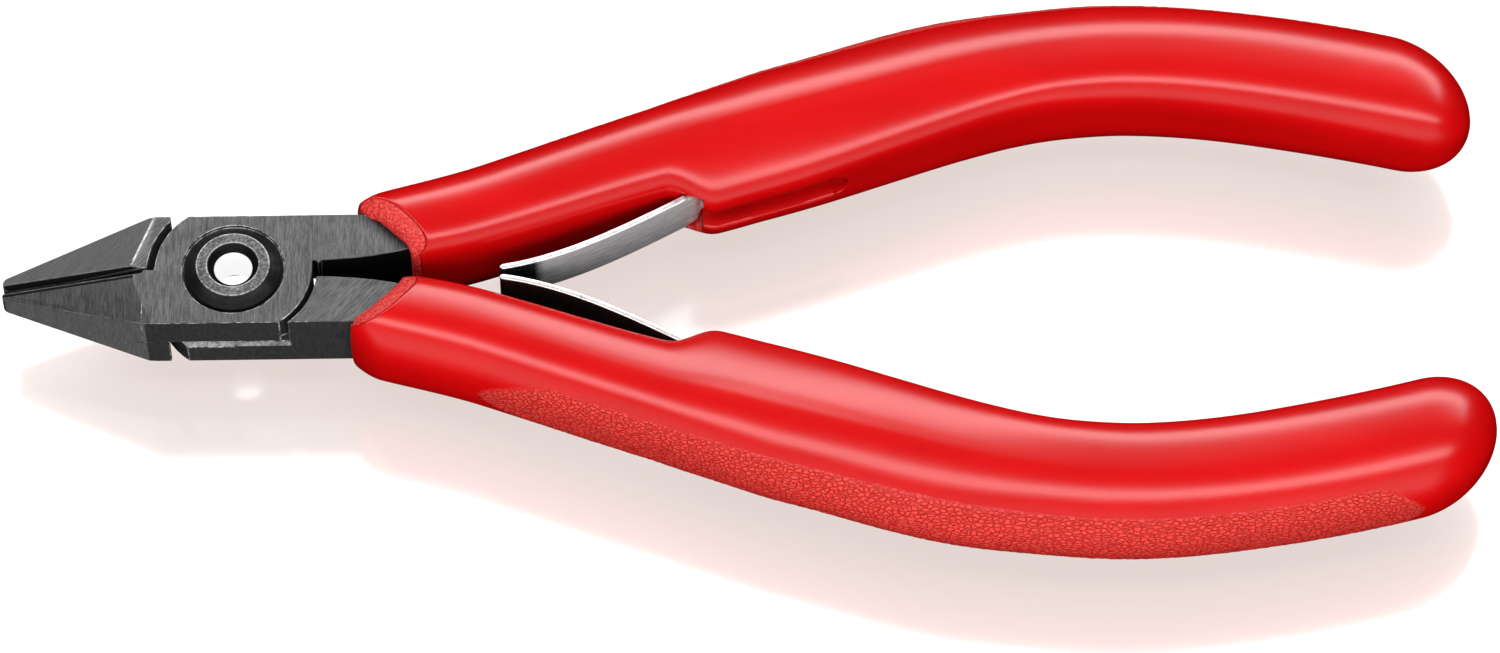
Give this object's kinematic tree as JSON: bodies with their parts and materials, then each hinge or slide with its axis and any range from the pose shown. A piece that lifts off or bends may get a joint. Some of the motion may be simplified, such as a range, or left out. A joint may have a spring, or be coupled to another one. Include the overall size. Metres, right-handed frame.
{
  "type": "flush cutter",
  "caption": "Small spring-opened side cutter: lap-jointed steel jaws on a hollow rivet, leaf springs and curved red grip sleeves.",
  "frame": {"origin": "the pivot axis, at the middle of the head's thickness", "axes": "+X towards the handle ends, -X towards the jaw tips, +Y towards the far handle, +Z along the rivet towards the face with the jaw facets"},
  "size_m": [0.1247, 0.0536, 0.009],
  "materials": {
    "burnished_steel": "dark burnished tool steel with fine grinding lines",
    "rivet_steel": "dark turned steel with a brighter face ring",
    "grip_plastic": "glossy soft plastic with a leather-grained outer flank",
    "spring_steel": "satin strip with bright ground edges",
    "pin_steel": "plain ground pin"
  },
  "bodies": {
    "lower_half": {"lower_lap_lever": "burnished_steel", "joint_rivet": "rivet_steel", "near_grip_sleeve": "grip_plastic", "near_spring_pin": "pin_steel"},
    "upper_half": {"upper_lap_lever": "burnished_steel", "far_grip_sleeve": "grip_plastic", "far_spring_pin": "pin_steel"},
    "far_spring": {"far_leaf_spring": "spring_steel"},
    "near_spring": {"near_leaf_spring": "spring_steel"}
  },
  "joints": [
    {"name": "pivot", "type": "hinge", "parent": "lower_half", "child": "upper_half", "pos_m": [0, 0, 0], "axis": [0, 0, 1], "range_deg": [0, 14], "stiffness_Nm_per_rad": 0.8, "springref_deg": 17.19},
    {"name": "far_spring_swing", "type": "hinge", "parent": "upper_half", "child": "far_spring", "pos_m": [0.0452, 0.0116, 0], "axis": [0, 0, 1], "range_deg": [0, 7]},
    {"name": "near_spring_swing", "type": "hinge", "parent": "lower_half", "child": "near_spring", "pos_m": [0.0452, -0.0116, 0], "axis": [0, 0, 1], "range_deg": [-7, 0]}
  ],
  "couplings": [
    {"joint": "far_spring_swing", "follows": "pivot", "ratio": 0.5},
    {"joint": "near_spring_swing", "follows": "pivot", "ratio": -0.5}
  ]
}
